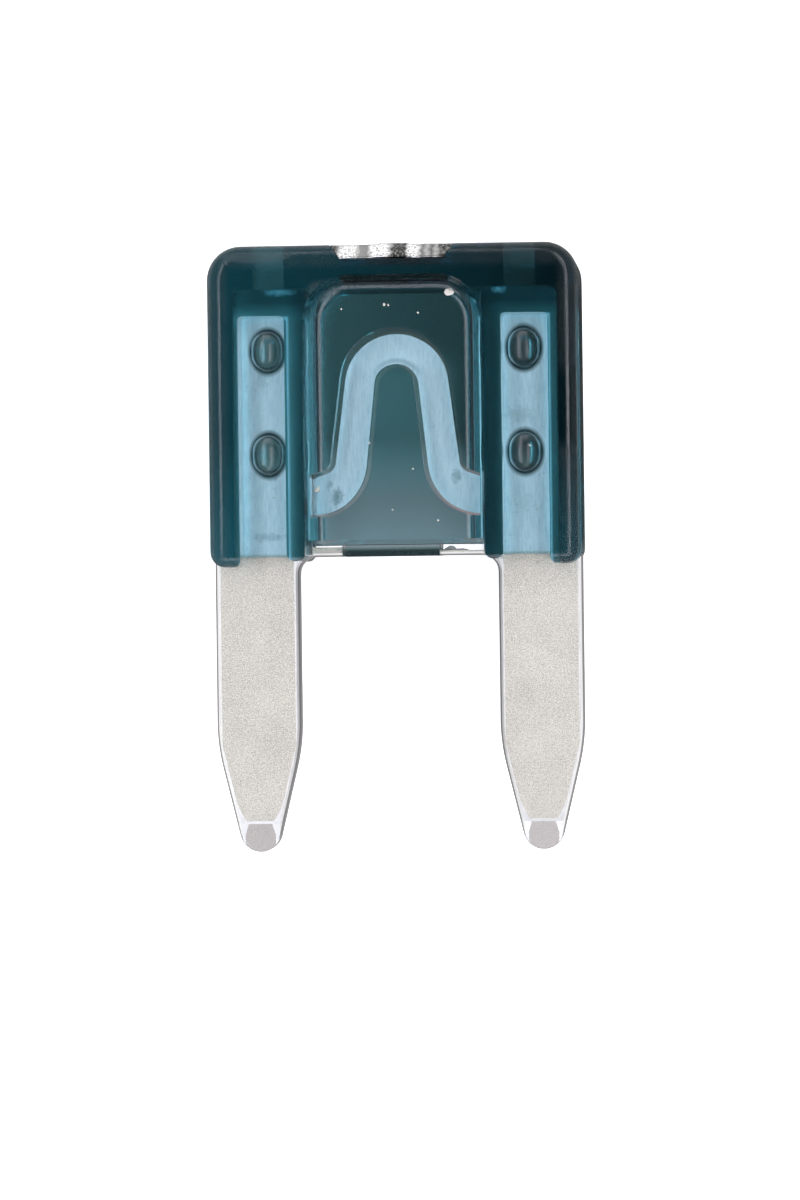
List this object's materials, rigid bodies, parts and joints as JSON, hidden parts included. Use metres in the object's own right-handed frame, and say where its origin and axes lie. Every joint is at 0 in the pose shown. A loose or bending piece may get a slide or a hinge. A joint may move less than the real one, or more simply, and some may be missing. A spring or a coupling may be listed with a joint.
{
  "type": "two-blade miniature automotive fuse",
  "caption": "Miniature automotive blade fuse: translucent moulded housing staked over a stamped strip, whose thinned link shows through a window.",
  "frame": {"origin": "middle of the fuse's bounding box at its back face, which rests on the floor", "axes": "+X across the blades to the right, +Y from the blade tips to the top of the housing, +Z out of the front face"},
  "size_m": [0.0094, 0.0152, 0.0038],
  "materials": {
    "housing_plastic": "glossy dark teal translucent plastic, light blue where it is thin over metal",
    "strip_metal": "frosted warm silver plating with bright coined edges",
    "marking_foil": "mirror-like silver stamping foil, slightly wavy"
  },
  "bodies": {
    "root": {"housing": "housing_plastic", "fuse_strip": "strip_metal", "marking_foil": "marking_foil"}
  },
  "joints": []
}
